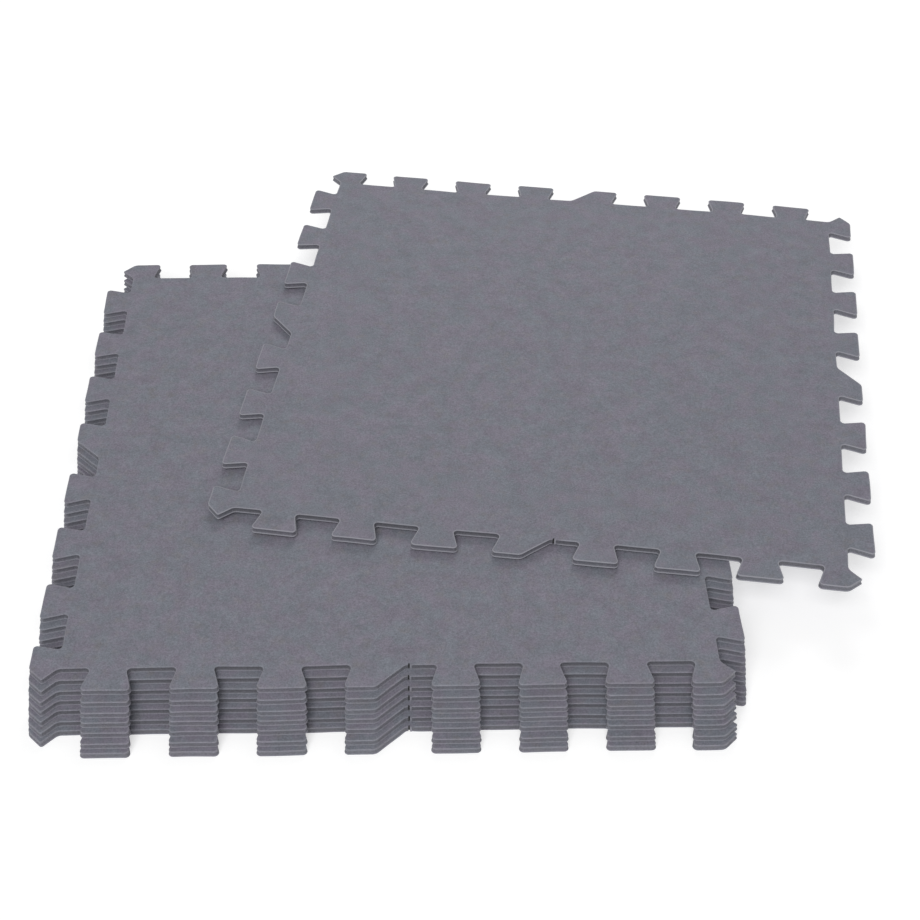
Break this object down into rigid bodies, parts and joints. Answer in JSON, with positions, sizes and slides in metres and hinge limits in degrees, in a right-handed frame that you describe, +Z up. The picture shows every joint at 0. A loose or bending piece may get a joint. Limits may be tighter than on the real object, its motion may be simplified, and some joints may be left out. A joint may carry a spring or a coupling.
{
  "type": "interlocking foam mat set",
  "caption": "Square foam floor mats with dovetail tabs and slots on all sides, stacked in a pile stepped back towards the top, with a loose mat laid askew on it.",
  "frame": {"origin": "middle of the bottom mat's underside", "axes": "+Z up out of the pile, -Y the front of the pile, +X along the bottom mat's front side to the right"},
  "size_m": [0.7032, 0.7072, 0.04],
  "materials": {
    "foam": "matte, fine pebble grain"
  },
  "bodies": {
    "pile_mat_1": {"pile_mat_1": "foam"},
    "pile_mat_2": {"pile_mat_2": "foam"},
    "pile_mat_3": {"pile_mat_3": "foam"},
    "pile_mat_4": {"pile_mat_4": "foam"},
    "pile_mat_5": {"pile_mat_5": "foam"},
    "pile_mat_6": {"pile_mat_6": "foam"},
    "pile_mat_7": {"pile_mat_7": "foam"},
    "loose_mat": {"loose_mat": "foam"}
  },
  "joints": [
    {"name": "lift_pile_mat_2", "type": "slide", "parent": "pile_mat_1", "child": "pile_mat_2", "axis": [0, 0, 1], "range_m": [0, 0.1]},
    {"name": "lift_pile_mat_3", "type": "slide", "parent": "pile_mat_2", "child": "pile_mat_3", "axis": [0, 0, 1], "range_m": [0, 0.1]},
    {"name": "lift_pile_mat_4", "type": "slide", "parent": "pile_mat_3", "child": "pile_mat_4", "axis": [0, 0, 1], "range_m": [0, 0.1]},
    {"name": "lift_pile_mat_5", "type": "slide", "parent": "pile_mat_4", "child": "pile_mat_5", "axis": [0, 0, 1], "range_m": [0, 0.1]},
    {"name": "lift_pile_mat_6", "type": "slide", "parent": "pile_mat_5", "child": "pile_mat_6", "axis": [0, 0, 1], "range_m": [0, 0.1]},
    {"name": "lift_pile_mat_7", "type": "slide", "parent": "pile_mat_6", "child": "pile_mat_7", "axis": [0, 0, 1], "range_m": [0, 0.1]},
    {"name": "lift_loose_mat", "type": "slide", "parent": "pile_mat_7", "child": "loose_mat", "axis": [0, 0, 1], "range_m": [0, 0.1]}
  ]
}
